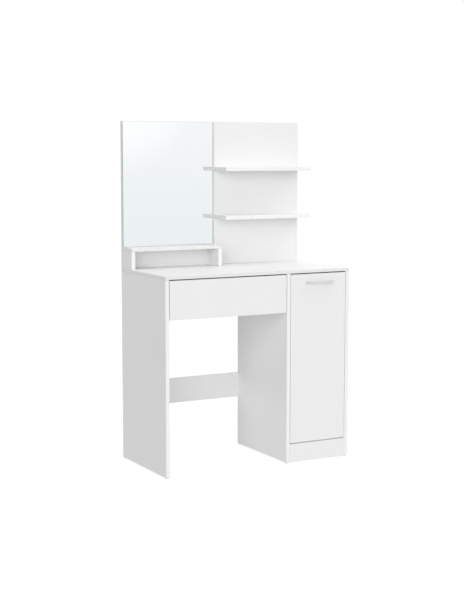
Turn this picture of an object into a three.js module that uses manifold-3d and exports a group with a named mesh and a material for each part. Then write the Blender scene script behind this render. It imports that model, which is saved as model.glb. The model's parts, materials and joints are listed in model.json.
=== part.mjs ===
// Vanity table with a mirror, a drawer, a cabinet and two open shelves.
//
// Millimetres, +Z up, +X to the right, +Y to the back. The origin lies on the floor under the
// middle of the whole piece. White boards carry everything; the drawer runs on roller slides
// and the cabinet door turns on two concealed hinges at its right edge.

import * as THREE from 'three';
import { mergeVertices } from 'three/addons/utils/BufferGeometryUtils.js';
import Module from 'manifold-3d';

const wasm = await Module();
wasm.setup();

// ---------------------------------------------------------------- driving dimensions

const WIDTH = 800;
const DEPTH = 395;
const TABLE_HEIGHT = 755;
const TOTAL_HEIGHT = 1325;
const BOARD = 15;
const THIN_BOARD = 12;             // tabletop and top of the cubby
const GAP = 0.3;                   // between pieces that touch

const DIVIDER_LEFT = 117.5;        // left face of the divider between knee space and cabinet
const REVEAL = 2.5;                // around the drawer front and the door
const TOP_REVEAL = 4;              // above the drawer front and the door
const RAIL = { low: 204, high: 304 };
const APRON_HEIGHT = 100;
const DRAWER_FRONT_LOW = 593;
const DOOR_LOW = 79;
const PLINTH_TOP = 76;

const MIRROR = { right: -9, glass: 3, margin: 1 };
const CUBBY = { depth: 97, top: 837.5, right: -8 };
const SHELF_BOARD = [0, 391];      // as wide as the mirror board
const SHELF = { depth: 116, undersides: { lower_shelf: 939.5, upper_shelf: 1131 } };

const HANDLE = { length: 118, height: 9, bar: 6, reach: 20, post: 8, centre: [263, 705.5] };
const GLIDE = { radius: 6.5, height: 4, chamfer: 1, pin: 1.2, pinLength: 12, fromEnd: 8.5 };
const PLATE = { width: 14, height: 140, thickness: 2, head: 1.2, headRadius: 3.5 };

const ROUND = 24;                  // facets round a cylinder
const ROUND_SMALL = 12;            // facets round a pin or a screw
const PAST = 1;                    // how far a cutting tool reaches past the face it opens

// ---------------------------------------------------------------- derived planes

const PLATE_PROUD = PLATE.thickness + PLATE.head + GAP;
const FRONT = HANDLE.reach - (DEPTH + HANDLE.reach + PLATE_PROUD) / 2;
const BACK = FRONT + DEPTH;
const LEFT = -WIDTH / 2;
const RIGHT = WIDTH / 2;
const UNDER_TOP = TABLE_HEIGHT - THIN_BOARD;
const PANEL_LOW = GLIDE.height + GAP;
const DIVIDER_RIGHT = DIVIDER_LEFT + BOARD;
const KNEE = [LEFT + BOARD, DIVIDER_LEFT];
const CABINET = [DIVIDER_RIGHT, RIGHT - BOARD];
const BOARD_FACE = BACK - BOARD;   // front face of the upright boards behind the tabletop

// ---------------------------------------------------------------- materials

const finish = (color, roughness, metalness = 0) =>
  new THREE.MeshStandardMaterial({ color, roughness, metalness });

const MATERIALS = {
  board: () => finish(0xf4f4f2, 0.45),
  hardboard: () => finish(0xe6e4de, 0.7),
  mirror: () => finish(0xf2f7fa, 0.03, 1),
  satin: () => finish(0xc9cbcc, 0.35, 1),
  nickel: () => finish(0xb9bbbc, 0.3, 1),
  coated: () => finish(0xebebe8, 0.5, 0.2),
  plastic: () => finish(0xdedede, 0.55),
};

// ---------------------------------------------------------------- shape helpers

// Box between two corners, each side given as [low, high].
function block([x0, x1], [y0, y1], [z0, z1]) {
  const geometry = new THREE.BoxGeometry(x1 - x0, y1 - y0, z1 - z0);
  return geometry.translate((x0 + x1) / 2, (y0 + y1) / 2, (z0 + z1) / 2);
}

const ROW_BASIS = {
  x: [[0, 1, 0], [0, 0, 1], [1, 0, 0]],
  y: [[0, 0, 1], [1, 0, 0], [0, 1, 0]],
  z: [[1, 0, 0], [0, 1, 0], [0, 0, 1]],
};

// Turns a geometry made along local +Z so that it runs along a row axis.
function alongAxis(geometry, axis) {
  const [u, v, w] = ROW_BASIS[axis].map((row) => new THREE.Vector3(...row));
  return geometry.applyMatrix4(new THREE.Matrix4().makeBasis(u, v, w));
}

// Outline swept along an axis. Its points are (y, z), (z, x) or (x, y) for axis x, y or z.
function prism(outline, axis, [from, to]) {
  const shape = new THREE.Shape(outline.map(([a, b]) => new THREE.Vector2(a, b)));
  const geometry = new THREE.ExtrudeGeometry(shape, { depth: to - from, bevelEnabled: false });
  return alongAxis(geometry.translate(0, 0, from), axis);
}

// Cylinder along an axis; the centre's two other coordinates are given in the same order.
function rod(radius, axis, [from, to], [a, b], facets = ROUND_SMALL) {
  const geometry = new THREE.CylinderGeometry(radius, radius, to - from, facets);
  geometry.rotateX(Math.PI / 2);
  return alongAxis(geometry.translate(a, b, (from + to) / 2), axis);
}

// Profile of (radius, height) points turned about an axis through a point.
function turned(profile, axis, [x, y, z], facets = ROUND) {
  const points = profile.map(([radius, height]) => new THREE.Vector2(radius, height));
  const geometry = new THREE.LatheGeometry(points, facets);
  geometry.rotateX(Math.PI / 2);
  return alongAxis(geometry, axis).translate(x, y, z);
}

function toSolid(geometry) {
  const bare = geometry.clone();
  bare.deleteAttribute('normal');
  bare.deleteAttribute('uv');
  const merged = mergeVertices(bare);
  const vertProperties = new Float32Array(merged.attributes.position.array);
  const triVerts = new Uint32Array(merged.index.array);
  return new wasm.Manifold(new wasm.Mesh({ numProp: 3, vertProperties, triVerts }));
}

function toGeometry(solid) {
  const mesh = solid.getMesh();
  const geometry = new THREE.BufferGeometry();
  geometry.setAttribute('position', new THREE.BufferAttribute(mesh.vertProperties, 3));
  geometry.setIndex(new THREE.BufferAttribute(mesh.triVerts, 1));
  geometry.computeVertexNormals();
  return geometry;
}

function cut(geometry, tools) {
  return toGeometry(tools.reduce((solid, tool) => solid.subtract(toSolid(tool)), toSolid(geometry)));
}

function join(geometries) {
  return toGeometry(geometries.map(toSolid).reduce((whole, piece) => whole.add(piece)));
}

const inset = ([low, high], by) => [low + by, high - by];
const about = (centre, half) => [centre - half, centre + half];

const vanity = new THREE.Group();

function place(name, geometry, material) {
  const mesh = new THREE.Mesh(geometry, MATERIALS[material]());
  mesh.name = name;
  vanity.add(mesh);
}

// ---------------------------------------------------------------- table

const BACK_GROOVE = { from: BACK - 8.3, to: BACK - 4.7, depth: 5, room: 1 };
const SHELF_PIN = { radius: 2.5, flange: 4, lip: 1.2, length: 8, inset: 45, overhang: 8 };
const CABINET_SHELF = { low: 405, front: FRONT + 32, back: BACK - 12, play: 1.6 };
const GLIDE_Y = { front: FRONT + GLIDE.fromEnd, rear: BACK - GLIDE.fromEnd };

function glideHoles(x) {
  const depth = [PANEL_LOW - BOARD, PANEL_LOW + GLIDE.pinLength];
  return Object.values(GLIDE_Y).map((y) => rod(GLIDE.pin + GAP, 'z', depth, [x, y]));
}

const pinRows = [CABINET_SHELF.front + SHELF_PIN.inset, CABINET_SHELF.back - SHELF_PIN.inset];
const pinHeight = CABINET_SHELF.low - GAP - SHELF_PIN.radius;

function shelfPinHoles(span) {
  return pinRows.map((y) => rod(SHELF_PIN.radius + GAP, 'x', span, [y, pinHeight]));
}

function table() {
  const leg = [PANEL_LOW, UNDER_TOP - GAP];
  const run = [FRONT, BACK];
  const left = block([LEFT, LEFT + BOARD], run, leg);
  place('left_side_panel', cut(left, glideHoles(LEFT + BOARD / 2)), 'board');

  const groove = [BACK_GROOVE.from, BACK_GROOVE.to];
  const pinDepth = SHELF_PIN.length + GAP;
  const divider = block([DIVIDER_LEFT, DIVIDER_RIGHT], run, leg);
  place('centre_divider', cut(divider, [
    block([DIVIDER_RIGHT - BACK_GROOVE.depth, DIVIDER_RIGHT + PAST], groove, [0, TABLE_HEIGHT]),
    ...shelfPinHoles([DIVIDER_RIGHT - pinDepth, DIVIDER_RIGHT + PAST]),
    ...glideHoles(DIVIDER_LEFT + BOARD / 2),
  ]), 'board');
  const side = block([RIGHT - BOARD, RIGHT], run, leg);
  place('right_side_panel', cut(side, [
    block([CABINET[1] - PAST, CABINET[1] + BACK_GROOVE.depth], groove, [0, TABLE_HEIGHT]),
    ...shelfPinHoles([CABINET[1] - PAST, CABINET[1] + pinDepth]),
    ...glideHoles(RIGHT - BOARD / 2),
  ]), 'board');

  place('table_top', block([LEFT, RIGHT], run, [UNDER_TOP, TABLE_HEIGHT]), 'board');
  const rear = [BACK - BOARD, BACK];
  const kneeWidth = inset(KNEE, GAP);
  place('knee_rail', block(kneeWidth, rear, [RAIL.low, RAIL.high]), 'board');
  const apron = [UNDER_TOP - APRON_HEIGHT, UNDER_TOP - GAP];
  place('rear_apron', block(kneeWidth, rear, apron), 'board');
}

function glides() {
  const sides = { left: LEFT + BOARD / 2, centre: DIVIDER_LEFT + BOARD / 2, right: RIGHT - BOARD / 2 };
  const tip = GLIDE.height + GLIDE.pinLength - GAP;
  const profile = [
    [0, 0],
    [GLIDE.radius - GLIDE.chamfer, 0],
    [GLIDE.radius, GLIDE.chamfer],
    [GLIDE.radius, GLIDE.height],
    [GLIDE.pin, GLIDE.height],
    [GLIDE.pin, tip - GLIDE.pin],
    [0, tip],
  ];
  for (const [side, x] of Object.entries(sides)) {
    for (const [end, y] of Object.entries(GLIDE_Y)) {
      place(`glide_${side}_${end}`, turned(profile, 'z', [x, y, 0]), 'plastic');
    }
  }
}

// ---------------------------------------------------------------- cabinet behind the door

function cabinet() {
  const wide = inset(CABINET, GAP);
  const floor = [PLINTH_TOP, PLINTH_TOP + BOARD];
  const floorRun = inset([FRONT + BOARD, BACK_GROOVE.from], BACK_GROOVE.room);
  place('plinth_board', block(wide, [FRONT, FRONT + BOARD], [PANEL_LOW, PLINTH_TOP]), 'board');
  place('cabinet_floor', block(wide, floorRun, floor), 'board');

  const sheet = inset(CABINET, 2 * GAP - BACK_GROOVE.depth);
  const thick = inset([BACK_GROOVE.from, BACK_GROOVE.to], GAP);
  const tall = [PLINTH_TOP, UNDER_TOP - GAP];
  place('cabinet_back_panel', block(sheet, thick, tall), 'hardboard');

  const shelfRun = [CABINET_SHELF.front, CABINET_SHELF.back];
  const shelfLevel = [CABINET_SHELF.low, CABINET_SHELF.low + BOARD];
  place('cabinet_shelf', block(inset(CABINET, CABINET_SHELF.play), shelfRun, shelfLevel), 'board');

  const { radius, flange, lip, length, overhang } = SHELF_PIN;
  const profile = [
    [0, -length],
    [radius, -length],
    [radius, GAP],
    [flange, GAP],
    [flange, lip],
    [radius, lip],
    [radius, overhang],
    [0, overhang],
  ];
  const ends = ['front', 'rear'];
  pinRows.forEach((y, index) => {
    const pinLeft = turned(profile, 'x', [CABINET[0], y, pinHeight], ROUND_SMALL);
    const pinRight = turned(profile, 'x', [0, 0, 0], ROUND_SMALL).rotateZ(Math.PI);
    pinRight.translate(CABINET[1], y, pinHeight);
    place(`shelf_pin_left_${ends[index]}`, pinLeft, 'nickel');
    place(`shelf_pin_right_${ends[index]}`, pinRight, 'nickel');
  });
}

// ---------------------------------------------------------------- mirror and open shelves

const SHELF_SCREW = { head: 4.5, sink: 3, shank: 2, length: 42, fromEnd: 60 };
const screwXs = inset(SHELF_BOARD, SHELF_SCREW.fromEnd);

function mirrorAndCubby() {
  const standing = [TABLE_HEIGHT + GAP, TOTAL_HEIGHT];
  place('mirror_board', block([LEFT, MIRROR.right], [BOARD_FACE, BACK], standing), 'board');
  const glassFace = BOARD_FACE - GAP;
  const glass = block(
    [LEFT + MIRROR.margin, MIRROR.right - MIRROR.margin],
    [glassFace - MIRROR.glass, glassFace],
    [CUBBY.top + 2 * GAP, TOTAL_HEIGHT - MIRROR.margin],
  );
  place('mirror_glass', glass, 'mirror');

  const run = [BACK - CUBBY.depth, BOARD_FACE - GAP];
  const under = CUBBY.top - THIN_BOARD;
  const wall = [TABLE_HEIGHT + GAP, under - GAP];
  place('cubby_top', block([LEFT, CUBBY.right], run, [under, CUBBY.top]), 'board');
  place('cubby_left_panel', block([LEFT, LEFT + BOARD], run, wall), 'board');
  place('cubby_right_panel', block([CUBBY.right - BOARD, CUBBY.right], run, wall), 'board');
}

// Countersunk screw along +Y, its head just below the back of the board. The bore for it is
// the same profile grown by the gap and carried out past the board's back.
function screwProfile(grow, top) {
  const { head, sink, shank, length } = SHELF_SCREW;
  return [
    [0, -length - grow],
    [shank + grow, -length - grow],
    [shank + grow, -sink - grow],
    [head + grow, -GAP - grow],
    [head + grow, top],
    [0, top],
  ];
}

function shelves() {
  const holes = [];
  const run = [BACK - SHELF.depth, BOARD_FACE - GAP];
  for (const [name, low] of Object.entries(SHELF.undersides)) {
    const level = low + BOARD / 2;
    const bores = screwXs.map((x) => turned(screwProfile(GAP, PAST), 'y', [x, BACK, level], ROUND_SMALL));
    place(name, cut(block(SHELF_BOARD, run, [low, low + BOARD]), bores), 'board');
    holes.push(...bores);
    screwXs.forEach((x, index) => {
      const screw = turned(screwProfile(0, -GAP / 2), 'y', [x, BACK, level], ROUND_SMALL);
      place(`${name}_screw_${['left', 'right'][index]}`, screw, 'nickel');
    });
  }
  const upright = block(SHELF_BOARD, [BOARD_FACE, BACK], [TABLE_HEIGHT + GAP, TOTAL_HEIGHT]);
  place('shelf_back_board', cut(upright, holes), 'board');
}

// Flat plates behind the boards tie the mirror and the shelves to the table. Each is held by
// two screws above the tabletop and two below it.
const PLATE_LEFT = LEFT + 40;
const PLATE_MIRROR_RIGHT = MIRROR.right - 50;
const PLATE_RIGHT = SHELF_BOARD[1] - 3;
const PLATE_HEAD_RISES = [-58.8, -28, 28, 58.8];

function joiningPlates() {
  const columns = {
    left: PLATE_LEFT,
    mirror_right: PLATE_MIRROR_RIGHT,
    divider: DIVIDER_LEFT + BOARD / 2,
    right: PLATE_RIGHT,
  };
  const tall = about(TABLE_HEIGHT, PLATE.height / 2);
  const sheet = [BACK + GAP, BACK + GAP + PLATE.thickness];
  const head = [sheet[0] + PLATE.thickness / 2, BACK + PLATE_PROUD];
  for (const [column, x] of Object.entries(columns)) {
    const plate = block(about(x, PLATE.width / 2), sheet, tall);
    const heads = PLATE_HEAD_RISES.map((rise) => (
      rod(PLATE.headRadius, 'y', head, [TABLE_HEIGHT + rise, x])
    ));
    place(`joining_plate_${column}`, join([plate, ...heads]), 'nickel');
  }
}

// ---------------------------------------------------------------- drawer on roller slides

const SLIDE = { room: 12.5, length: 350, sheet: 1.2, low: 610, high: 637, flange: 10, lip: 9.5 };
const ROLLER = { radius: 9, shaft: 2, near: 3.5, far: 9.5, chamfer: 1, crown: 0.6 };
const ROLLER_FROM_END = { front: 18, rear: 14 };
const BOX = { side: 12, low: 609, high: 705, base: 3, baseLow: 617, groove: 5 };
const drawerWidth = inset(KNEE, REVEAL);
const drawerOuter = inset(KNEE, SLIDE.room);
const boxFront = FRONT + BOARD + GAP;
const boxBack = boxFront + SLIDE.length;
const grooveLevel = [BOX.baseLow - GAP, BOX.baseLow + BOX.base + GAP];
const rollerLevel = SLIDE.low + SLIDE.sheet + GAP + ROLLER.radius;
const rollerYs = { front: boxFront + ROLLER_FROM_END.front, rear: boxBack - ROLLER_FROM_END.rear };

function drawerBox() {
  const face = block(drawerWidth, [FRONT, FRONT + BOARD], [DRAWER_FRONT_LOW, UNDER_TOP - TOP_REVEAL]);
  const slotBehind = [FRONT + BOARD - BOX.groove, FRONT + BOARD + PAST];
  const slotWide = inset(drawerOuter, BOX.side - BOX.groove);
  place('drawer_front', cut(face, [block(slotWide, slotBehind, grooveLevel)]), 'board');

  const [low, high] = drawerOuter;
  const walls = {
    left: [low, low + BOX.side, [low + BOX.side - BOX.groove, low + BOX.side + PAST]],
    right: [high - BOX.side, high, [high - BOX.side - PAST, high - BOX.side + BOX.groove]],
  };
  for (const [side, [x0, x1, slot]] of Object.entries(walls)) {
    const wall = block([x0, x1], [boxFront, boxBack], [BOX.low, BOX.high]);
    const groove = block(slot, [boxFront - PAST, boxBack + PAST], grooveLevel);
    place(`drawer_${side}_side`, cut(wall, [groove]), 'board');
  }
  const inner = inset(drawerOuter, BOX.side + GAP);
  const rearLevel = [grooveLevel[1], BOX.high];
  place('drawer_back', block(inner, [boxBack - BOX.side, boxBack], rearLevel), 'board');
  const baseWide = inset(drawerOuter, BOX.side - BOX.groove + GAP);
  const baseRun = [FRONT + BOARD - BOX.groove + GAP, boxBack];
  place('drawer_base', block(baseWide, baseRun, inset(grooveLevel, GAP)), 'hardboard');
}

// Distances from a wall of the knee space become X: `sign` is 1 at the left and -1 at the right.
const slideSides = [['left', KNEE[0], 1], ['right', KNEE[1], -1]];

function fromWall(wall, sign, [near, far]) {
  return sign > 0 ? [wall + near, wall + far] : [wall - far, wall - near];
}

function slides() {
  const { room, sheet, low, high, flange, lip } = SLIDE;
  const { radius, shaft, near, far, chamfer, crown } = ROLLER;
  const run = [boxFront, boxBack];
  const runnerHigh = rollerLevel + radius + GAP + sheet;
  const runnerLow = BOX.low - GAP - sheet;
  const webNear = room - GAP - sheet;
  const bore = shaft + 2 * GAP;
  const half = (far - near) / 2;
  const rollerProfile = [
    [bore, -half],
    [radius - crown, -half],
    [radius, chamfer - half],
    [radius, half - chamfer],
    [radius - crown, half],
    [bore, half],
    [bore, -half],
  ];
  for (const [side, wall, sign] of slideSides) {
    const span = (from, to) => fromWall(wall, sign, [from, to]);
    place(`${side}_cabinet_rail`, join([
      block(span(GAP, GAP + sheet), run, [low, high]),
      block(span(GAP, flange + GAP), run, [low, low + sheet]),
      block(span(GAP, lip), run, [high - sheet, high]),
      rod(shaft, 'x', span(GAP + sheet / 2, far + chamfer), [rollerYs.front, rollerLevel]),
    ]), 'coated');
    place(`${side}_drawer_runner`, join([
      block(span(webNear, room - GAP), run, [runnerLow, runnerHigh]),
      block(span(webNear, room + BOX.side - GAP), run, [runnerLow, runnerLow + sheet]),
      block(span(near, room - GAP), run, [runnerHigh - sheet, runnerHigh]),
      rod(shaft, 'x', span(near - chamfer, webNear + sheet / 2), [rollerYs.rear, rollerLevel]),
    ]), 'coated');
    for (const [end, y] of Object.entries(rollerYs)) {
      const centre = [wall + sign * (near + half), y, rollerLevel];
      place(`${side}_${end}_roller`, turned(rollerProfile, 'x', centre), 'plastic');
    }
  }
}

// ---------------------------------------------------------------- door, handle and hinges

const DOOR_REVEAL = 2;
const doorWidth = inset(CABINET, DOOR_REVEAL);
const doorTop = UNDER_TOP - TOP_REVEAL;
const HINGE = { fromEnd: 100, cup: 17.2, depth: 11, wall: 1, flange: 20, fromEdge: 22 };
const HINGE_PLATE = { from: FRONT + 46, to: FRONT + 86, thickness: 4, height: 40 };
const HINGE_ARM = { play: 1, bend: FRONT + 44, end: FRONT + 80, thickness: 7, height: 16 };
const hingeLevels = { lower: DOOR_LOW + HINGE.fromEnd, upper: doorTop - HINGE.fromEnd };
const cupX = doorWidth[1] - HINGE.fromEdge;
const doorBack = FRONT + BOARD;
const HANDLE_SCREW = { shank: 2, head: 4.5, headDepth: 2.5, bite: 9 };
const [handleX, handleZ] = HANDLE.centre;
const postXs = about(handleX, HANDLE.length / 2 - HANDLE.post / 2);
const screwSide = ['left', 'right'];

function handleScrew(x, grow) {
  const { shank, head, headDepth, bite } = HANDLE_SCREW;
  const end = doorBack + GAP;
  const profile = [
    [0, FRONT - bite - grow],
    [shank + grow, FRONT - bite - grow],
    [shank + grow, end],
    [head + grow, end],
    [head + grow, end + headDepth],
    [0, end + headDepth],
  ];
  return turned(profile, 'y', [x, 0, handleZ], ROUND_SMALL);
}

function doorAndHandle() {
  const slab = block(doorWidth, [FRONT, doorBack], [DOOR_LOW, doorTop]);
  const cupBores = Object.values(hingeLevels).map((z) => rod(
    HINGE.cup + GAP, 'y', [doorBack - HINGE.depth - GAP, doorBack + PAST], [z, cupX], ROUND,
  ));
  const shankBores = postXs.map((x) => rod(
    HANDLE_SCREW.shank + GAP, 'y', [FRONT - PAST, doorBack + PAST], [handleZ, x],
  ));
  place('cabinet_door', cut(slab, [...cupBores, ...shankBores]), 'board');

  const outer = FRONT - HANDLE.reach;
  const long = about(handleX, HANDLE.length / 2);
  const bend = HANDLE.post;
  const outline = [
    [long[0], FRONT - GAP],
    [long[0], outer + bend / 2],
    [long[0] + bend / 2, outer],
    [long[1] - bend / 2, outer],
    [long[1], outer + bend / 2],
    [long[1], FRONT - GAP],
    [long[1] - HANDLE.post, FRONT - GAP],
    [long[1] - HANDLE.post, outer + HANDLE.bar],
    [long[0] + HANDLE.post, outer + HANDLE.bar],
    [long[0] + HANDLE.post, FRONT - GAP],
  ];
  const bow = prism(outline, 'z', about(handleZ, HANDLE.height / 2));
  const taps = postXs.map((x) => handleScrew(x, GAP));
  place('door_handle', cut(bow, taps), 'satin');
  postXs.forEach((x, index) => {
    place(`handle_screw_${screwSide[index]}`, handleScrew(x, 0), 'nickel');
  });
}

function hinges() {
  const { cup, depth, wall, flange } = HINGE;
  const rim = GAP + wall;
  const cupProfile = [
    [0, -depth],
    [cup, -depth],
    [cup, GAP],
    [flange, GAP],
    [flange, rim],
    [cup - wall, rim],
    [cup - wall, wall - depth],
    [0, wall - depth],
  ];
  const { play, bend, end, thickness } = HINGE_ARM;
  const armFront = doorBack + rim + play;
  const plateRun = [HINGE_PLATE.from, HINGE_PLATE.to];
  const plateX = [CABINET[1] - GAP - HINGE_PLATE.thickness, CABINET[1] - GAP];
  const armX = [plateX[0] - GAP - thickness, plateX[0] - GAP];
  const armOutline = [
    [cupX - thickness / 2, armFront],
    [cupX + thickness, armFront],
    [armX[1], bend],
    [armX[1], end],
    [armX[0], end],
    [armX[0], bend + thickness / 2],
  ];
  for (const [level, z] of Object.entries(hingeLevels)) {
    const arm = prism(armOutline, 'z', about(z, HINGE_ARM.height / 2));
    const plate = block(plateX, plateRun, about(z, HINGE_PLATE.height / 2));
    place(`${level}_hinge_cup`, turned(cupProfile, 'y', [cupX, doorBack, z]), 'nickel');
    place(`${level}_hinge_arm`, arm, 'nickel');
    place(`${level}_hinge_plate`, plate, 'nickel');
  }
}

table();
glides();
cabinet();
mirrorAndCubby();
shelves();
joiningPlates();
drawerBox();
slides();
doorAndHandle();
hinges();

export default vanity;
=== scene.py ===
"""Looks of a white vanity table with a mirror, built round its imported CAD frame. Metres, +Z up."""

import json
import math

import bmesh
import bpy
from mathutils import Matrix, Vector


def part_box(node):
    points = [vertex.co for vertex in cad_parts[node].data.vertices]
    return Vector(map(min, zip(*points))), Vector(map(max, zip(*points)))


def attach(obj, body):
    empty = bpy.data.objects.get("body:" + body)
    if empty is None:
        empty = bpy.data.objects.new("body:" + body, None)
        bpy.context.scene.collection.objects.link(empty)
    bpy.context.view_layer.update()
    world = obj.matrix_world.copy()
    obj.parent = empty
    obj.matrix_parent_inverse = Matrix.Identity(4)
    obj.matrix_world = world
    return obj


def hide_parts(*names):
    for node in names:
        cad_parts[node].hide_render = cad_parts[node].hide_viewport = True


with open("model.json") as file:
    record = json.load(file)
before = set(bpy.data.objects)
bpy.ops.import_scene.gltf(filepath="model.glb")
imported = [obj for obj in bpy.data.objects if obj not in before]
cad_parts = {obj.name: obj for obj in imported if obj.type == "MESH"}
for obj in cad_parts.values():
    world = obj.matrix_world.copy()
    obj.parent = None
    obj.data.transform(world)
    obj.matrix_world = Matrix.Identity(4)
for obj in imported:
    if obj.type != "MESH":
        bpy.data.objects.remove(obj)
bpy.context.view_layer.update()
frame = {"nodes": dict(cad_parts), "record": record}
NODES = frame["nodes"]

MM = 0.001

# ------------------------------------------------------------------ camera

CAMERA = {
    "place": (-2.4766, -4.5230, 1.2261),
    "azimuth": -28.50,
    "down": 6.60,
    "roll": 0.07,
    "lens": 79.42,
    "sensor": 36.0,
    "sees_to": 100.0,
}


def make_camera():
    data = bpy.data.cameras.new("camera")
    data.lens = CAMERA["lens"]
    data.sensor_width = CAMERA["sensor"]
    data.clip_end = CAMERA["sees_to"]
    camera = bpy.data.objects.new("camera", data)
    bpy.context.scene.collection.objects.link(camera)
    turn = Matrix.Rotation(math.radians(CAMERA["azimuth"]), 4, "Z")
    tilt = Matrix.Rotation(math.radians(90 - CAMERA["down"]), 4, "X")
    roll = Matrix.Rotation(math.radians(CAMERA["roll"]), 4, "Z")
    camera.matrix_world = Matrix.Translation(CAMERA["place"]) @ turn @ tilt @ roll
    bpy.context.scene.camera = camera


# ------------------------------------------------------------------ node helpers


class Nodes:
    """Short way to build a node tree: each call adds a node and returns it."""

    def __init__(self, tree):
        self.tree = tree
        tree.nodes.clear()

    def add(self, kind, inputs=(), **settings):
        node = self.tree.nodes.new(kind)
        for key, value in settings.items():
            setattr(node, key, value)
        for key, value in dict(inputs).items():
            self.feed(node.inputs[key], value)
        return node

    def feed(self, socket, value):
        if isinstance(value, bpy.types.NodeSocket):
            self.tree.links.new(value, socket)
        else:
            socket.default_value = value

    def math(self, operation, first, second=0.0):
        node = self.add("ShaderNodeMath", operation=operation)
        self.feed(node.inputs[0], first)
        self.feed(node.inputs[1], second)
        return node.outputs[0]

    def noise(self, where, scale, detail=2.0, roughness=0.5):
        inputs = {"Vector": where, "Scale": scale, "Detail": detail, "Roughness": roughness}
        return self.add("ShaderNodeTexNoise", inputs).outputs["Fac"]

    def remap(self, value, low, high, from_low=0.0, from_high=1.0):
        inputs = {
            "Value": value,
            "From Min": from_low,
            "From Max": from_high,
            "To Min": low,
            "To Max": high,
        }
        return self.add("ShaderNodeMapRange", inputs).outputs["Result"]

    def mix(self, factor, first, second):
        node = self.add("ShaderNodeMix", data_type="RGBA")
        self.feed(node.inputs["Factor"], factor)
        self.feed(node.inputs["A"], first)
        self.feed(node.inputs["B"], second)
        return node.outputs["Result"]


def rgba(colour):
    return (*colour, 1.0)


def shade(colour, factor):
    return rgba(tuple(min(1.0, channel * factor) for channel in colour))


WEAR_RADIUS = 0.8 * MM
BUMP_DEPTH = 0.12 * MM


def edge_mask(nodes, radius):
    """1 along the edges of a solid and 0 on its faces."""
    rounded = nodes.add("ShaderNodeBevel", {"Radius": radius}, samples=4)
    plain = nodes.add("ShaderNodeNewGeometry")
    dot = nodes.add("ShaderNodeVectorMath", operation="DOT_PRODUCT")
    nodes.feed(dot.inputs[0], rounded.outputs["Normal"])
    nodes.feed(dot.inputs[1], plain.outputs["Normal"])
    return nodes.remap(dot.outputs["Value"], 1.0, 0.0, 0.75, 0.995)


def surface(name, colour, rough, **look):
    """A procedural surface: mottled colour, worn edges, varied roughness and a fine bump.

    rough is (lowest, highest) roughness. look sets mottle, mottle_scale, wear, bump and
    bump_scale, and may set wear_colour, bump_depth, streaks (a stretch for each axis),
    fine_rough (the grain also varies the roughness), metallic and coat.
    """
    material = bpy.data.materials.new(name)
    material.use_nodes = True
    nodes = Nodes(material.node_tree)
    where = nodes.add("ShaderNodeTexCoord").outputs["Object"]
    cloud = nodes.noise(where, look["mottle_scale"], 4.0, 0.55)
    spread = look["mottle"]
    tone = nodes.mix(cloud, shade(colour, 1 - spread), shade(colour, 1 + spread))

    scratch_where = where
    if "streaks" in look:
        scale = {"Vector": where, "Scale": look["streaks"]}
        scratch_where = nodes.add("ShaderNodeMapping", scale).outputs["Vector"]
    grain = nodes.noise(scratch_where, look.get("bump_scale", 900.0), 2.0, 0.6)

    if look["wear"]:
        patchy = nodes.remap(nodes.noise(where, 60.0, 3.0), 0.0, look["wear"], 0.42, 0.68)
        mask = nodes.math("MULTIPLY", edge_mask(nodes, WEAR_RADIUS), patchy)
        tone = nodes.mix(mask, tone, rgba(look["wear_colour"]))

    smudge = nodes.noise(where, 5.0, 5.0, 0.6)
    if look.get("fine_rough"):
        smudge = nodes.math("MULTIPLY", smudge, nodes.remap(grain, 0.7, 1.3))
    roughness = nodes.remap(smudge, rough[0], rough[1], 0.3, 0.7)
    bump = nodes.add("ShaderNodeBump", {
        "Height": grain,
        "Strength": look["bump"],
        "Distance": look.get("bump_depth", BUMP_DEPTH),
    })
    shader = nodes.add("ShaderNodeBsdfPrincipled", {
        "Base Color": tone,
        "Roughness": roughness,
        "Normal": bump.outputs["Normal"],
        "Metallic": look.get("metallic", 0.0),
        "IOR": 1.5,
        "Specular IOR Level": 0.5,
        "Coat Weight": look.get("coat", 0.0),
    })
    output = nodes.add("ShaderNodeOutputMaterial")
    nodes.feed(output.inputs["Surface"], shader.outputs["BSDF"])
    return material


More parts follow.
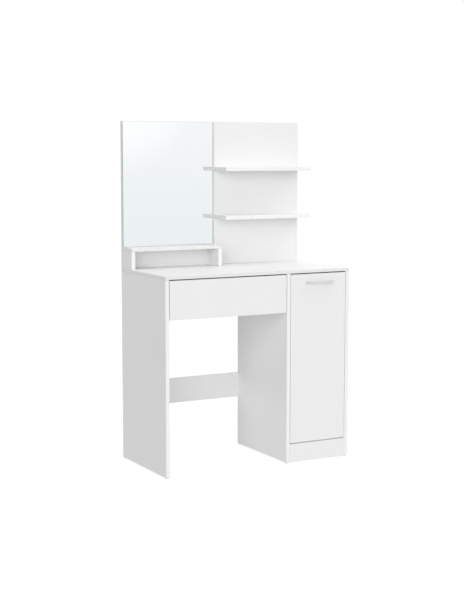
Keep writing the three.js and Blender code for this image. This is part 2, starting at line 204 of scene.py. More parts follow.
MATERIALS = {
    "face": surface(
        "melamine_face", (0.86, 0.86, 0.86), (0.34, 0.46), mottle=0.008, mottle_scale=6.0,
        wear=0.25, wear_colour=(0.78, 0.775, 0.76), bump=0.10, bump_scale=700.0,
    ),
    "edge": surface(
        "edge_band", (0.90, 0.90, 0.90), (0.26, 0.36), mottle=0.006, mottle_scale=14.0,
        wear=0.3, wear_colour=(0.79, 0.785, 0.77), bump=0.06, bump_scale=420.0,
    ),
    # painted shade: a darker copy of the edge band, for the front edges of the table top and cubby
    # top
    "edge_painted_shade_top": surface(
        "top_edge_band_painted_shade", (0.82, 0.82, 0.82), (0.26, 0.36), mottle=0.006, mottle_scale=14.0,
        wear=0.3, wear_colour=(0.79, 0.785, 0.77), bump=0.06, bump_scale=420.0,
    ),
    # painted shade: a still darker copy of the edge band, for the shelf ends and the mirror board's
    # left edge
    "edge_painted_shade_end": surface(
        "end_edge_band_painted_shade", (0.77, 0.77, 0.77), (0.26, 0.36), mottle=0.006, mottle_scale=14.0,
        wear=0.3, wear_colour=(0.74, 0.735, 0.72), bump=0.06, bump_scale=420.0,
    ),
    "chipboard": surface(
        "raw_chipboard", (0.50, 0.36, 0.22), (0.75, 0.9), mottle=0.28, mottle_scale=420.0,
        wear=0.0, bump=0.6, bump_scale=600.0, bump_depth=0.3 * MM,
    ),
    "film": surface(
        "white_film", (0.83, 0.825, 0.81), (0.40, 0.55), mottle=0.012, mottle_scale=12.0,
        wear=0.5, wear_colour=(0.52, 0.40, 0.27), bump=0.12, bump_scale=500.0,
    ),
    "hardboard": surface(
        "brown_hardboard", (0.40, 0.27, 0.16), (0.65, 0.85), mottle=0.12, mottle_scale=160.0,
        wear=0.4, wear_colour=(0.55, 0.42, 0.28), bump=0.45, bump_scale=900.0,
        bump_depth=0.2 * MM,
    ),
    "mirror": surface(
        "mirror_silver", (0.94, 0.955, 0.965), (0.0, 0.015), mottle=0.002, mottle_scale=2.0,
        wear=0.0, bump=0.0, metallic=1.0,
    ),
    "glass_edge": surface(
        "glass_edge", (0.13, 0.18, 0.17), (0.04, 0.12), mottle=0.06, mottle_scale=40.0,
        wear=0.1, wear_colour=(0.60, 0.68, 0.66), bump=0.03, bump_scale=1500.0, coat=0.6,
    ),
    "handle": surface(
        "satin_handle", (0.75, 0.755, 0.76), (0.28, 0.42), mottle=0.015, mottle_scale=60.0,
        wear=0.5, wear_colour=(0.85, 0.85, 0.86), bump=0.1, bump_scale=120.0,
        streaks=(0.6, 25.0, 25.0), metallic=1.0, fine_rough=True,
    ),
    "steel": surface(
        "nickel_plate", (0.66, 0.665, 0.67), (0.22, 0.42), mottle=0.03, mottle_scale=70.0,
        wear=0.5, wear_colour=(0.8, 0.8, 0.8), bump=0.08, bump_scale=900.0,
        metallic=1.0, fine_rough=True,
    ),
    "coated": surface(
        "epoxy_coat", (0.83, 0.83, 0.81), (0.32, 0.48), mottle=0.012, mottle_scale=30.0,
        wear=0.6, wear_colour=(0.62, 0.62, 0.62), bump=0.25, bump_scale=520.0,
    ),
    "plastic": surface(
        "moulded_plastic", (0.74, 0.74, 0.735), (0.42, 0.58), mottle=0.015, mottle_scale=80.0,
        wear=0.35, wear_colour=(0.82, 0.82, 0.82), bump=0.15, bump_scale=1100.0,
    ),
}


# ------------------------------------------------------------------ mesh helpers

AXES = "xyz"
ALONG_X = Matrix(((0, 0, 1), (1, 0, 0), (0, 1, 0))).to_4x4()   # local Z along X, X along Y
ALONG_Y = Matrix(((1, 0, 0), (0, 0, 1), (0, 1, 0))).to_4x4()   # local Z along Y, Y along Z


def along(direction, point=(0, 0, 0)):
    """Matrix that lays local +Z along a direction, from a point."""
    turn = Vector((0, 0, 1)).rotation_difference(Vector(direction))
    return Matrix.Translation(point) @ turn.to_matrix().to_4x4()


def facing(side):
    """Unit vector of a side such as "-y"."""
    vector = Vector((0, 0, 0))
    vector[AXES.index(side[1])] = 1 if side[0] == "+" else -1
    return vector


def fillet(outline, radius, steps=5, closed=True):
    """An outline with its corners rounded. radius is one number or one for each corner."""
    radii = radius if isinstance(radius, (list, tuple)) else [radius] * len(outline)
    last = len(outline) - 1
    points = []
    for index, (corner, bend) in enumerate(zip(outline, radii)):
        corner = Vector(corner)
        if not bend or (not closed and index in (0, last)):
            points.append(corner)
            continue
        before = (Vector(outline[index - 1]) - corner).normalized()
        after = (Vector(outline[(index + 1) % len(outline)]) - corner).normalized()
        half = before.angle(after) / 2
        centre = corner + (before + after).normalized() * bend / math.sin(half)
        first = (corner + before * bend / math.tan(half) - centre).normalized()
        second = (corner + after * bend / math.tan(half) - centre).normalized()
        spokes = [first.slerp(second, step / steps) for step in range(steps + 1)]
        points += [centre + bend * spoke for spoke in spokes]
    return points


def rectangle(width, height, bend, steps=6):
    """A rounded rectangle about the origin."""
    x, y = width / 2, height / 2
    return fillet([(-x, -y), (x, -y), (x, y), (-x, y)], bend, steps)


def skin(bm, rings, material=0, wrap=False):
    """Faces between rings of points. A ring of one point is a tip; open ends are capped."""
    made = [[bm.verts.new(point) for point in ring] for ring in rings]
    faces = []
    for first, second in zip(made, made[1:] + (made[:1] if wrap else [])):
        count = max(len(first), len(second))
        for index in range(count):
            after = index + 1
            corners = [first[index % len(first)], first[after % len(first)]]
            corners += [second[after % len(second)], second[index % len(second)]]
            faces.append(bm.faces.new(list(dict.fromkeys(corners))))
    if not wrap:
        faces += [bm.faces.new(end) for end in (made[0], made[-1]) if len(end) > 2]
    for face in faces:
        face.material_index = material
    return made


def add_turned(bm, profile, matrix, facets=48, material=0, wrap=False):
    """Points (radius, height) turned about local Z. wrap closes a profile that has a bore."""
    rings = []
    for radius, height in profile:
        turns = [math.tau * index / facets for index in range(facets)] if radius else [0.0]
        ring = [Vector((radius * math.cos(a), radius * math.sin(a), height)) for a in turns]
        rings.append([matrix @ point for point in ring])
    skin(bm, rings, material, wrap)


def add_prism(bm, outline, matrix, depth, rounding=0.0, material=0):
    """An outline in local XY carried along local Z, its rims rounded."""
    levels = (0.0, depth)
    rings = [[matrix @ Vector((*point, level)) for point in outline] for level in levels]
    made = skin(bm, rings, material)
    if rounding:
        rims = {
            edge for ring in made for vertex in ring for edge in vertex.link_edges
            if edge.other_vert(vertex) in ring
        }
        result = bmesh.ops.bevel(
            bm, geom=list(rims), offset=rounding, segments=2, profile=0.5, affect="EDGES",
        )
        for face in result["faces"]:
            face.material_index = material


def add_box(bm, low, high, rounding=0.0, segments=2, material=0):
    """A box with rounded edges; returns its faces."""
    before = set(bm.faces)
    made = bmesh.ops.create_cube(bm, size=1.0)["verts"]
    size = Vector(high) - Vector(low)
    middle = (Vector(high) + Vector(low)) / 2
    for vertex in made:
        vertex.co = Vector(a * b for a, b in zip(vertex.co, size)) + middle
    if rounding:
        edges = list({edge for vertex in made for edge in vertex.link_edges})
        bmesh.ops.bevel(
            bm, geom=edges, offset=rounding, segments=segments, profile=0.5, affect="EDGES",
        )
    faces = [face for face in bm.faces if face not in before]
    for face in faces:
        face.normal_update()
        face.material_index = material
    return faces


def to_mesh(bm, name):
    bmesh.ops.recalc_face_normals(bm, faces=bm.faces)
    mesh = bpy.data.meshes.new(name)
    bm.to_mesh(mesh)
    bm.free()
    return mesh


def to_object(bm, name, materials=(), smooth_angle=None):
    mesh = to_mesh(bm, name)
    piece = bpy.data.objects.new(name, mesh)
    bpy.context.scene.collection.objects.link(piece)
    for key in materials:
        mesh.materials.append(MATERIALS[key])
    if smooth_angle is not None:
        mesh.shade_smooth()
        mesh.set_sharp_from_angle(angle=math.radians(smooth_angle))
        piece.modifiers.new("flat_faces_stay_flat", "WEIGHTED_NORMAL").keep_sharp = True
    return piece


def carved(bm, tools):
    """The solids of one bmesh with those of another cut out of them."""
    solid, tool = to_object(bm, "solid"), to_object(tools, "tool")
    cut = solid.modifiers.new("cut", "BOOLEAN")
    cut.operation = "DIFFERENCE"
    cut.solver = "EXACT"
    cut.object = tool
    graph = bpy.context.evaluated_depsgraph_get()
    mesh = bpy.data.meshes.new_from_object(solid.evaluated_get(graph))
    result = bmesh.new()
    result.from_mesh(mesh)
    spare = [mesh, solid.data, tool.data]
    for thing in (solid, tool):
        bpy.data.objects.remove(thing)
    for mesh in spare:
        bpy.data.meshes.remove(mesh)
    return result


def add_copies(bm, mesh, matrices, material=0):
    """A ready mesh repeated in a bmesh."""
    for matrix in matrices:
        before = set(bm.verts)
        bm.from_mesh(mesh)
        added = [vertex for vertex in bm.verts if vertex not in before]
        bmesh.ops.transform(bm, matrix=matrix, verts=added)
        for face in {face for vertex in added for face in vertex.link_faces}:
            face.material_index = material


def settle(piece, body, slot, *replaced):
    """The piece rides on a body and stands for CAD nodes. The slot is not used."""
    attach(piece, body)
    if replaced:
        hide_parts(*replaced)


def middle(node):
    low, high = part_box(node)
    return (low + high) / 2


# ------------------------------------------------------------------ screws and cams

SHARP = 28                  # degrees between faces that still shade as one


def add_cross(bm, reach, width, low, high):
    """A cross-shaped cutter standing on local Z."""
    for half in ((reach, width), (width, reach)):
        add_box(bm, (-half[0], -half[1], low), (half[0], half[1], high))


def pan_head(radius, height):
    """Domed screw head on its base, with a cross recess."""
    bm, tools = bmesh.new(), bmesh.new()
    profile = [(0, 0), (radius, 0), (radius, 0.3 * height), (0.94 * radius, 0.55 * height)]
    profile += [(0.78 * radius, 0.8 * height), (0.5 * radius, 0.95 * height), (0, height)]
    add_turned(bm, profile, Matrix(), 32)
    add_cross(tools, 0.62 * radius, 0.13 * radius, 0.35 * height, 2 * height)
    return to_mesh(carved(bm, tools), "pan_head")


def sunk_head(radius, shank, depth):
    """Countersunk head level with the origin, with a cross recess."""
    bm, tools = bmesh.new(), bmesh.new()
    rim = 0.06 * radius
    profile = [(0, -depth), (shank, -depth), (radius, -2 * rim), (radius, -rim)]
    profile += [(radius - rim, 0), (0, 0)]
    add_turned(bm, profile, Matrix(), 32)
    add_cross(tools, 0.6 * radius, 0.12 * radius, -0.6 * depth, depth)
    return to_mesh(carved(bm, tools), "sunk_head")


CAM = {"radius": 7.4 * MM, "depth": 11 * MM, "from_end": 34 * MM, "sunk": 0.3 * MM}
CAM_ROUND = 0.5 * MM


def cam_disc():
    """Zinc cam of a board joint, its face level with the origin."""
    bm, tools = bmesh.new(), bmesh.new()
    radius, depth = CAM["radius"], CAM["depth"]
    profile = [(0, -depth), (radius, -depth), (radius, -CAM_ROUND), (radius - CAM_ROUND, 0), (0, 0)]
    add_turned(bm, profile, Matrix(), 40)
    add_cross(tools, 0.62 * radius, 0.11 * radius, -0.2 * depth, depth)
    return to_mesh(carved(bm, tools), "cam_disc")


PAN = pan_head(3.5 * MM, 1.15 * MM)
PAN_LARGE = pan_head(4.4 * MM, 2.2 * MM)
DISC = cam_disc()


# ------------------------------------------------------------------ boards

BAND = 1.0 * MM             # thickness of an edge band
BAND_ROUND = 0.45 * MM
CORE_ROUND = 0.12 * MM
FIT = 0.3 * MM              # between pieces that touch
PAST = 1.0 * MM             # how far a cutter reaches past a face
THROUGH = 1.0               # a cutter that runs out at both ends

# Edges that carry a band. Every other edge shows the raw chipboard.
BOARDS = {
    "left_side_panel": ("-y", "+y"),
    "centre_divider": ("-y", "+y"),
    "right_side_panel": ("-y", "+y"),
    "table_top": ("-x", "+x", "-y", "+y"),
    "knee_rail": ("+z", "-z"),
    "rear_apron": ("-z",),
    "plinth_board": ("+z",),
    "cabinet_floor": ("-y",),
    "cabinet_shelf": ("-y",),
    "mirror_board": ("-x", "+x", "+z"),
    "cubby_top": ("-x", "+x", "-y"),
    "cubby_left_panel": ("-y",),
    "cubby_right_panel": ("-y",),
    "shelf_back_board": ("-x", "+x", "+z"),
    "lower_shelf": ("-x", "+x", "-y"),
    "upper_shelf": ("-x", "+x", "-y"),
}
FRONTS = {
    "drawer_front": ("drawer", ("-x", "+x", "+z", "-z")),
    "cabinet_door": ("door", ("-x", "+x", "+z", "-z")),
    "drawer_left_side": ("drawer", ("+z",)),
    "drawer_right_side": ("drawer", ("+z",)),
    "drawer_back": ("drawer", ("+z",)),
}
# Cams: the face they sit in, the axis they are set in along, its ends, and shares across.
CAMS = {
    "knee_rail": ("+y", "x", (0, 1), (0.5,)),
    "rear_apron": ("+y", "x", (0, 1), (0.5,)),
    "plinth_board": ("+y", "x", (0, 1), (0.5,)),
    "cabinet_floor": ("-z", "x", (0, 1), (0.12, 0.88)),
    "left_side_panel": ("+x", "z", (1,), (0.12, 0.88)),
    "centre_divider": ("+x", "z", (1,), (0.12, 0.88)),
    "right_side_panel": ("-x", "z", (1,), (0.12, 0.88)),
    "drawer_left_side": ("+x", "y", (0,), (0.62,)),
    "drawer_right_side": ("-x", "y", (0,), (0.62,)),
}
# Boards whose bands carry painted shade, a darker copy of the edge band: all of them, or only those
# on the named sides.
PAINTED_SHADE_TOPS = ("table_top", "cubby_top")
PAINTED_SHADE_ENDS = {"lower_shelf": ("-x", "+x"), "upper_shelf": ("-x", "+x"), "mirror_board": ("-x",)}
PIN_STEPS = (-64 * MM, -32 * MM, 0.0, 32 * MM, 64 * MM)
PIN_HOLE = {"radius": 2.6 * MM, "depth": 9 * MM}
CUP_HOLE = {"radius": 17.5 * MM, "depth": 11.3 * MM}
SCREW_HOLE = {"radius": 2.4 * MM, "depth": 20 * MM}
SHEET_ROUND = 0.25 * MM
GLIDE_HOLE = {"radius": 1.5 * MM, "depth": 14 * MM}


def cam_places(node):
    """Points on a board's face where its cams sit."""
    side, end_axis, ends, shares = CAMS[node]
    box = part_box(node)
    face, long = AXES.index(side[1]), AXES.index(end_axis)
    cross = 3 - face - long
    places = []
    for end in ends:
        for share in shares:
            point = Vector((0, 0, 0))
            point[face] = box[side[0] == "+"][face]
            point[long] = box[end][long] + CAM["from_end"] * (1 - 2 * end)
            point[cross] = box[0][cross] + share * (box[1][cross] - box[0][cross])
            places.append(point)
    return places


def add_bore(tools, point, side, radius, depth):
    """A cutter that bores into a face, from just outside it."""
    inward = -facing(side)
    profile = [(0, -PAST), (radius, -PAST), (radius, depth), (0, depth)]
    add_turned(tools, profile, along(inward, point), 32, 2)


def add_groove(tools, node, grow):
    """A cutter round another piece, grown by a distance on each axis."""
    low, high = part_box(node)
    add_box(tools, low - Vector(grow), high + Vector(grow), material=2)


def board_tools(node):
    """Everything bored or grooved in a board, as one set of cutters."""
    tools = bmesh.new()
    if node in CAMS:
        for point in cam_places(node):
            add_bore(tools, point, CAMS[node][0], CAM["radius"] + FIT, CAM["depth"] + 2 * FIT)
    inner = {"centre_divider": ("+x", "left"), "right_side_panel": ("-x", "right")}
    if node in inner:
        side, end = inner[node]
        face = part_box(node)[side[0] == "+"].x
        add_groove(tools, "cabinet_back_panel", (FIT, FIT, THROUGH))
        for row in ("front", "rear"):
            pin = middle(f"shelf_pin_{end}_{row}")
            for step in PIN_STEPS:
                add_bore(tools, (face, pin.y, pin.z + step), side, *PIN_HOLE.values())
    glides = {"left_side_panel": "left", "centre_divider": "centre", "right_side_panel": "right"}
    if node in glides:
        for row in ("front", "rear"):
            point = middle(f"glide_{glides[node]}_{row}")
            point.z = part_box(node)[0].z
            add_bore(tools, point, "-z", *GLIDE_HOLE.values())
    if node == "cabinet_door":
        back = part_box(node)[1].y
        for level in ("upper", "lower"):
            cup = middle(f"{level}_hinge_cup")
            add_bore(tools, (cup.x, back, cup.z), "+y", *CUP_HOLE.values())
        for end in ("left", "right"):
            screw = middle(f"handle_screw_{end}")
            add_bore(tools, (screw.x, back, screw.z), "+y", *SCREW_HOLE.values())
    if node in ("drawer_front", "drawer_left_side", "drawer_right_side"):
        run = 0.0 if node == "drawer_front" else PAST
        add_groove(tools, "drawer_base", (FIT, FIT + run, FIT))
    return tools


def make_board(node, bands, body="carcass"):
    """A faced board: core, bores and grooves, and edge bands on the named sides."""
    low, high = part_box(node)
    size = high - low
    thin = min(range(3), key=lambda axis: size[axis])
    core = [list(low), list(high)]
    strips = []
    for side in bands:
        axis, end = AXES.index(side[1]), int(side[0] == "+")
        strip = [list(core[0]), list(core[1])]
        inner = core[end][axis] + (BAND if end == 0 else -BAND)
        strip[1 - end][axis] = inner
        core[end][axis] = inner
        strips.append(strip)
    bm = bmesh.new()
    for face in add_box(bm, *core, CORE_ROUND, 1, 2):
        if abs(face.normal[thin]) > 0.5:
            face.material_index = 0
    tools = board_tools(node)
    if tools.faces:
        bm = carved(bm, tools)
    # the table top and cubby top take a darker edge band as painted shade
    slots = ["face", "edge_painted_shade_top" if node in PAINTED_SHADE_TOPS else "edge", "chipboard"]
    # shelf ends and the mirror board's left edge take a darker edge band as painted shade
    if node in PAINTED_SHADE_ENDS:
        slots.append("edge_painted_shade_end")
    for side, strip in zip(bands, strips):
        add_box(bm, *strip, BAND_ROUND, 2, 3 if side in PAINTED_SHADE_ENDS.get(node, ()) else 1)
    piece = to_object(bm, f"{node}_faced", slots, SHARP)
    settle(piece, body, "board", node)


def make_boards():
    for node, bands in BOARDS.items():
        make_board(node, bands)
    for node, (body, bands) in FRONTS.items():
        make_board(node, bands, body)


def make_cams():
    for node in CAMS:
        body = FRONTS[node][0] if node in FRONTS else "carcass"
        out = facing(CAMS[node][0])
        bm = bmesh.new()
        add_copies(bm, DISC, [along(out, p - CAM["sunk"] * out) for p in cam_places(node)])
        settle(to_object(bm, f"{node}_cams", ["steel"], SHARP), body, "steel")


def make_sheet(node, body, white_sides):
    """Hardboard: white film on the named sides, brown fibre on the rest."""
    bm = bmesh.new()
    for face in add_box(bm, *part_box(node), SHEET_ROUND, 1, 1):
        if any(face.normal.dot(facing(side)) > 0.9 for side in white_sides):
            face.material_index = 0
    piece = to_object(bm, f"{node}_sheet", ["film", "hardboard"])
    settle(piece, body, "hardboard", node)


# ------------------------------------------------------------------ mirror

PANE_ROUND = 0.25 * MM


def make_mirror():
    bm = bmesh.new()
    for face in add_box(bm, *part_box("mirror_glass"), PANE_ROUND, 2, 1):
        if face.normal.y < -0.999:
            face.material_index = 0
    piece = to_object(bm, "mirror_glass_pane", ["mirror", "glass_edge"])
    settle(piece, "carcass", "mirror", "mirror_glass")


# ------------------------------------------------------------------ drawer slides

STEEL_SHEET = 1.2 * MM
PROFILE_ROUND = 0.2 * MM
PROFILE_BEND = {"outer": 1.5 * MM, "inner": 0.35 * MM, "lip": 0.25 * MM}
RAIL = {"flange": 10 * MM, "lip": 9.2 * MM}
RUNNER = {"web": 11 * MM, "near": 3.5 * MM}
SLOT = {"length": 9 * MM, "width": 4.4 * MM, "bend": 2.19 * MM}
SLOT_SHARES = (0.14, 0.5, 0.86)
ROLLER = {"bore": 2.6 * MM, "radius": 9 * MM, "half": 3 * MM}
AXLE = {"radius": 2 * MM, "head": 3.2 * MM, "head_length": 0.8 * MM}


def beside(side):
    """The board face that a slide's rail is screwed to, and which way along X it faces."""
    low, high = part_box(f"{side}_cabinet_rail")
    return (low.x - FIT, 1) if side == "left" else (high.x + FIT, -1)


def add_axle(bm, point, out, length):
    """Riveted axle that starts in a web and ends in a small head."""
    radius, head = AXLE["radius"], AXLE["head"]
    neck = length - AXLE["head_length"]
    profile = [(0, 0), (radius, 0), (radius, neck), (head, neck), (0.8 * head, length), (0, length)]
    add_turned(bm, profile, along(out, point), 32)


def make_profile(node, side, body, corners, web, outward, roller):
    """A pressed profile with screwed slots and a roller's axle.

    corners are (distance from the board face, height, bend), and web is the distance of the
    face that the screws sit on. That face looks away from the board if outward is 1.
    """
    low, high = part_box(node)
    wall, sign = beside(side)
    points = fillet([corner[:2] for corner in corners], [corner[2] for corner in corners])
    outline = [(wall + sign * distance, height) for distance, height in points]
    length = high.y - low.y
    bm, tools = bmesh.new(), bmesh.new()
    add_prism(bm, outline, Matrix.Translation((0, low.y, 0)) @ ALONG_Y, length, PROFILE_ROUND)
    face, level = wall + sign * web, (low.z + high.z) / 2
    places = [Vector((face, low.y + share * length, level)) for share in SLOT_SHARES]
    slot = rectangle(SLOT["length"], SLOT["width"], SLOT["bend"])
    for place in places:
        start = Matrix.Translation(place - Vector((2 * STEEL_SHEET, 0, 0)))
        add_prism(tools, slot, start @ ALONG_X, 4 * STEEL_SHEET)
    bm = carved(bm, tools)
    out = Vector((sign * outward, 0, 0))
    axle = middle(roller)
    axle.x = face - out.x * STEEL_SHEET / 2
    end = high.x if out.x > 0 else low.x
    add_axle(bm, axle, out, abs(end - axle.x))
    add_copies(bm, PAN, [along(out, place) for place in places], 1)
    piece = to_object(bm, f"{node}_pressed", ["coated", "steel"], SHARP)
    settle(piece, body, "coated_steel", node)


def make_cabinet_rail(side):
    """A channel open towards the drawer, with its flange below."""
    node = f"{side}_cabinet_rail"
    low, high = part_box(node)
    outer, inner, edge = PROFILE_BEND.values()
    near, web = FIT, FIT + STEEL_SHEET
    flange, lip = FIT + RAIL["flange"], FIT + RAIL["lip"]
    floor, roof = low.z + STEEL_SHEET, high.z - STEEL_SHEET
    corners = [
        (near, low.z, outer), (flange, low.z, edge), (flange, floor, edge), (web, floor, inner),
        (web, roof, inner), (lip, roof, edge), (lip, high.z, edge), (near, high.z, outer),
    ]
    make_profile(node, side, "carcass", corners, web, 1, f"{side}_front_roller")


def make_drawer_runner(side):
    """An upright web with a shelf under the drawer's side and a flange over the rail."""
    node = f"{side}_drawer_runner"
    low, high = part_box(node)
    wall, sign = beside(side)
    outer, inner, edge = PROFILE_BEND.values()
    near, web = RUNNER["near"], RUNNER["web"]
    far = web + STEEL_SHEET
    shelf = sign * ((high.x if sign > 0 else low.x) - wall)
    floor, roof = low.z + STEEL_SHEET, high.z - STEEL_SHEET
    corners = [
        (web, low.z, outer), (shelf, low.z, edge), (shelf, floor, edge), (far, floor, inner),
        (far, high.z, outer), (near, high.z, edge), (near, roof, edge), (web, roof, inner),
    ]
    make_profile(node, side, "drawer", corners, web, -1, f"{side}_rear_roller")


def make_roller(side, end):
    """Nylon wheel with a hub, a dished web and a crowned tread."""
    node = f"{side}_{end}_roller"
    bore, radius, half = ROLLER["bore"], ROLLER["radius"], ROLLER["half"]
    web, rim = half - 0.9 * MM, half - 0.1 * MM
    flank = [
        (bore, half), (bore + 1.7 * MM, half), (bore + 2.1 * MM, web), (radius - 2.4 * MM, web),
        (radius - 2 * MM, rim), (radius - 0.8 * MM, rim), (radius - 0.25 * MM, half - 0.6 * MM),
    ]
    tread = [(radius, half - 1.3 * MM), (radius, 1.3 * MM - half)]
    profile = flank + tread + [(distance, -height) for distance, height in reversed(flank)]
    bm = bmesh.new()
    add_turned(bm, profile, along((1, 0, 0), middle(node)), 64, 0, True)
    settle(to_object(bm, f"{node}_wheel", ["plastic"], SHARP), node, "plastic", node)


def make_slides():
    for side in ("left", "right"):
        make_cabinet_rail(side)
        make_drawer_runner(side)
        for end in ("front", "rear"):
            make_roller(side, end)


# ------------------------------------------------------------------ handle and hinges

HANDLE = {"post": 3.9 * MM, "bar": 2.9 * MM, "bend": 11 * MM, "corner": 1.9 * MM}
HANDLE_SCREW = {"head": 2.5 * MM, "shank": 2 * MM, "tip": 1.6 * MM, "taper": 0.6 * MM}
FLANGE = {"radius": 19.4 * MM, "thickness": 1.0 * MM, "bevel": 0.4 * MM}
EAR = {"width": 14 * MM, "reach": 27 * MM, "thickness": 0.85 * MM, "screw": 22.5 * MM}
CUP = {"radius": 17.2 * MM, "depth": 11 * MM, "wall": 1.0 * MM, "bend": 2 * MM}
LINK = {"height": 11 * MM, "length": 12 * MM, "bend": 2.2 * MM}
HEAD_SUNK = 0.2 * MM        # how far a screw's head is let into thin sheet
ARM = {"nose": 10.5 * MM, "slope": 26.7 * MM, "thickness": 7 * MM, "rounding": 1.2 * MM}
PLATE_WING = {"thickness": 1.8 * MM, "wide": 15 * MM, "screw": 15 * MM}


def make_handle():
    """Bow handle: a flat bar bent back to the door in one even curve at each end."""
    low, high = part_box("door_handle")
    level = (low.z + high.z) / 2
    post, bar, corner = HANDLE["post"], HANDLE["bar"], HANDLE["corner"]
    height = high.z - low.z
    route = fillet(
        [(low.x + post, high.y), (low.x + post, low.y + bar),
         (high.x - post, low.y + bar), (high.x - post, high.y)],
        HANDLE["bend"], 12, closed=False,
    )
    rings = []
    for index, point in enumerate(route):
        before, after = route[max(index - 1, 0)], route[min(index + 1, len(route) - 1)]
        ahead = (after - before).normalized()
        half = bar + (post - bar) * abs(ahead.y) ** 2
        across = Vector((-ahead.y, ahead.x))
        ring = []
        for offset, rise in rectangle(2 * half, height, corner, 4):
            spot = point + across * offset
            ring.append(Vector((spot.x, spot.y, level + rise)))
        rings.append(ring)
    bm = bmesh.new()
    skin(bm, rings)
    piece = to_object(bm, "door_handle_bow", ["handle"], SHARP)
    settle(piece, "door", "handle", "door_handle")


def make_handle_screws():
    for end in ("left", "right"):
        node = f"handle_screw_{end}"
        low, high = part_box(node)
        centre = (low + high) / 2
        head, radius, tip, taper = HANDLE_SCREW.values()
        base = high.y - head
        bm = bmesh.new()
        add_copies(bm, PAN_LARGE, [along((0, 1, 0), (centre.x, base, centre.z))])
        shank = [(0, low.y), (tip, low.y), (radius, low.y + taper), (radius, base), (0, base)]
        add_turned(bm, shank, along((0, 1, 0), (centre.x, 0, centre.z)), 24)
        settle(to_object(bm, f"{node}_pan", ["steel"], SHARP), "door", "steel", node)


def add_solid(bm, part):
    """Another bmesh's solid, added as it is."""
    mesh = to_mesh(part, "part")
    bm.from_mesh(mesh)
    bpy.data.meshes.remove(mesh)


def make_hinge_cup(level):
    """Pressed cup with a rolled rim, a flange with two screwed ears and its link."""
    node = f"{level}_hinge_cup"
    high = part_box(node)[1]
    centre = middle(node)
    radius, depth, wall, bend = CUP.values()
    flange, thick, bevel = FLANGE.values()
    out = along((0, 1, 0), (centre.x, high.y - thick, centre.z))
    profile = [
        (0, -depth), (radius - bend, -depth), (radius - 0.3 * bend, -depth + 0.3 * bend),
        (radius, -depth + bend), (radius, 0), (flange, 0), (flange, 0.6 * thick),
        (flange - bevel, thick), (radius, thick), (radius - 0.7 * wall, 0.7 * thick),
        (radius - wall, 0), (radius - wall, -depth + bend), (radius - bend, -depth + wall),
        (0, -depth + wall),
    ]
    bm = bmesh.new()
    add_turned(bm, profile, out, 72)
    ears, tools = bmesh.new(), bmesh.new()
    outline = rectangle(EAR["width"], 2 * EAR["reach"], 0.49 * EAR["width"])
    add_prism(ears, outline, out, EAR["thickness"], 0.25 * MM)
    add_turned(tools, [(0, -1), (radius + 0.2 * MM, -1), (radius + 0.2 * MM, 1), (0, 1)], out, 72)
    add_solid(bm, carved(ears, tools))
    rise = EAR["thickness"] - HEAD_SUNK
    spots = [(0, sign * EAR["screw"], rise) for sign in (-1, 1)]
    add_copies(bm, PAN, [out @ Matrix.Translation(spot) for spot in spots])
    link = bmesh.new()
    outline = rectangle(LINK["length"], depth - 2 * wall, LINK["bend"])
    stand = out @ Matrix.Translation((0, -LINK["height"] / 2, -depth / 2)) @ ALONG_Y
    add_prism(link, outline, stand, LINK["height"], 0.5 * MM)
    add_solid(bm, link)
    settle(to_object(bm, f"{node}_pressed", ["steel"], SHARP), "door", "steel", node)


def make_hinge_arm(level):
    """Cranked arm over its plate, with two adjusting screws."""
    node = f"{level}_hinge_arm"
    low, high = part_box(node)
    thick, turn = ARM["thickness"], low.y + ARM["slope"]
    outline = fillet(
        [(low.x, low.y), (low.x + ARM["nose"], low.y), (high.x, turn), (high.x, high.y),
         (high.x - thick, high.y), (high.x - thick, turn + thick / 2)],
        [2.5 * MM, 2.0 * MM, 5 * MM, 1 * MM, 3 * MM, 7 * MM],
    )
    bm = bmesh.new()
    lift = Matrix.Translation((0, 0, low.z))
    add_prism(bm, outline, lift, high.z - low.z, ARM["rounding"])
    level_z = (low.z + high.z) / 2
    face = high.x - thick
    length = high.y - turn
    spots = [(face, turn + share * length, level_z) for share in (0.4, 0.78)]
    add_copies(bm, PAN, [along((-1, 0, 0), Vector(spot)) for spot in spots])
    settle(to_object(bm, f"{node}_cranked", ["steel"], SHARP), "carcass", "steel", node)


def make_hinge_plate(level):
    """Mounting plate: a raised middle under the arm and two screwed wings."""
    node = f"{level}_hinge_plate"
    low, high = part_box(node)
    centre = (low + high) / 2
    arm_low, arm_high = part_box(f"{level}_hinge_arm")
    bm = bmesh.new()
    add_box(bm, (low.x, low.y, arm_low.z), (high.x, high.y, arm_high.z), 1.0 * MM)
    outline = rectangle(PLATE_WING["wide"], high.z - low.z, 5 * MM)
    face = high.x - PLATE_WING["thickness"]
    stand = Matrix.Translation((face, centre.y, centre.z)) @ ALONG_X
    add_prism(bm, outline, stand, PLATE_WING["thickness"], 0.4 * MM)
    spots = [(face, centre.y, centre.z + sign * PLATE_WING["screw"]) for sign in (-1, 1)]
    add_copies(bm, PAN, [along((-1, 0, 0), Vector(spot)) for spot in spots])
    settle(to_object(bm, f"{node}_winged", ["steel"], SHARP), "carcass", "steel", node)


def make_hinges():
    for level in ("upper", "lower"):
        make_hinge_cup(level)
        make_hinge_arm(level)
        make_hinge_plate(level)


# ------------------------------------------------------------------ small fastenings

GLIDE = {"radius": 6.5 * MM, "height": 4 * MM, "pin": 1.2 * MM, "top": 15.7 * MM}
SHELF_PIN = {"radius": 2.5 * MM, "collar": 4 * MM, "collar_length": 0.9 * MM, "in_board": 8 * MM}
SHELF_SCREW = {"head": 4.5 * MM, "shank": 2 * MM, "sink": 3 * MM, "tip": 3 * MM}
JOINING_PLATE = {"thickness": 2 * MM, "rises": (-58.8 * MM, -28 * MM, 28 * MM, 58.8 * MM)}


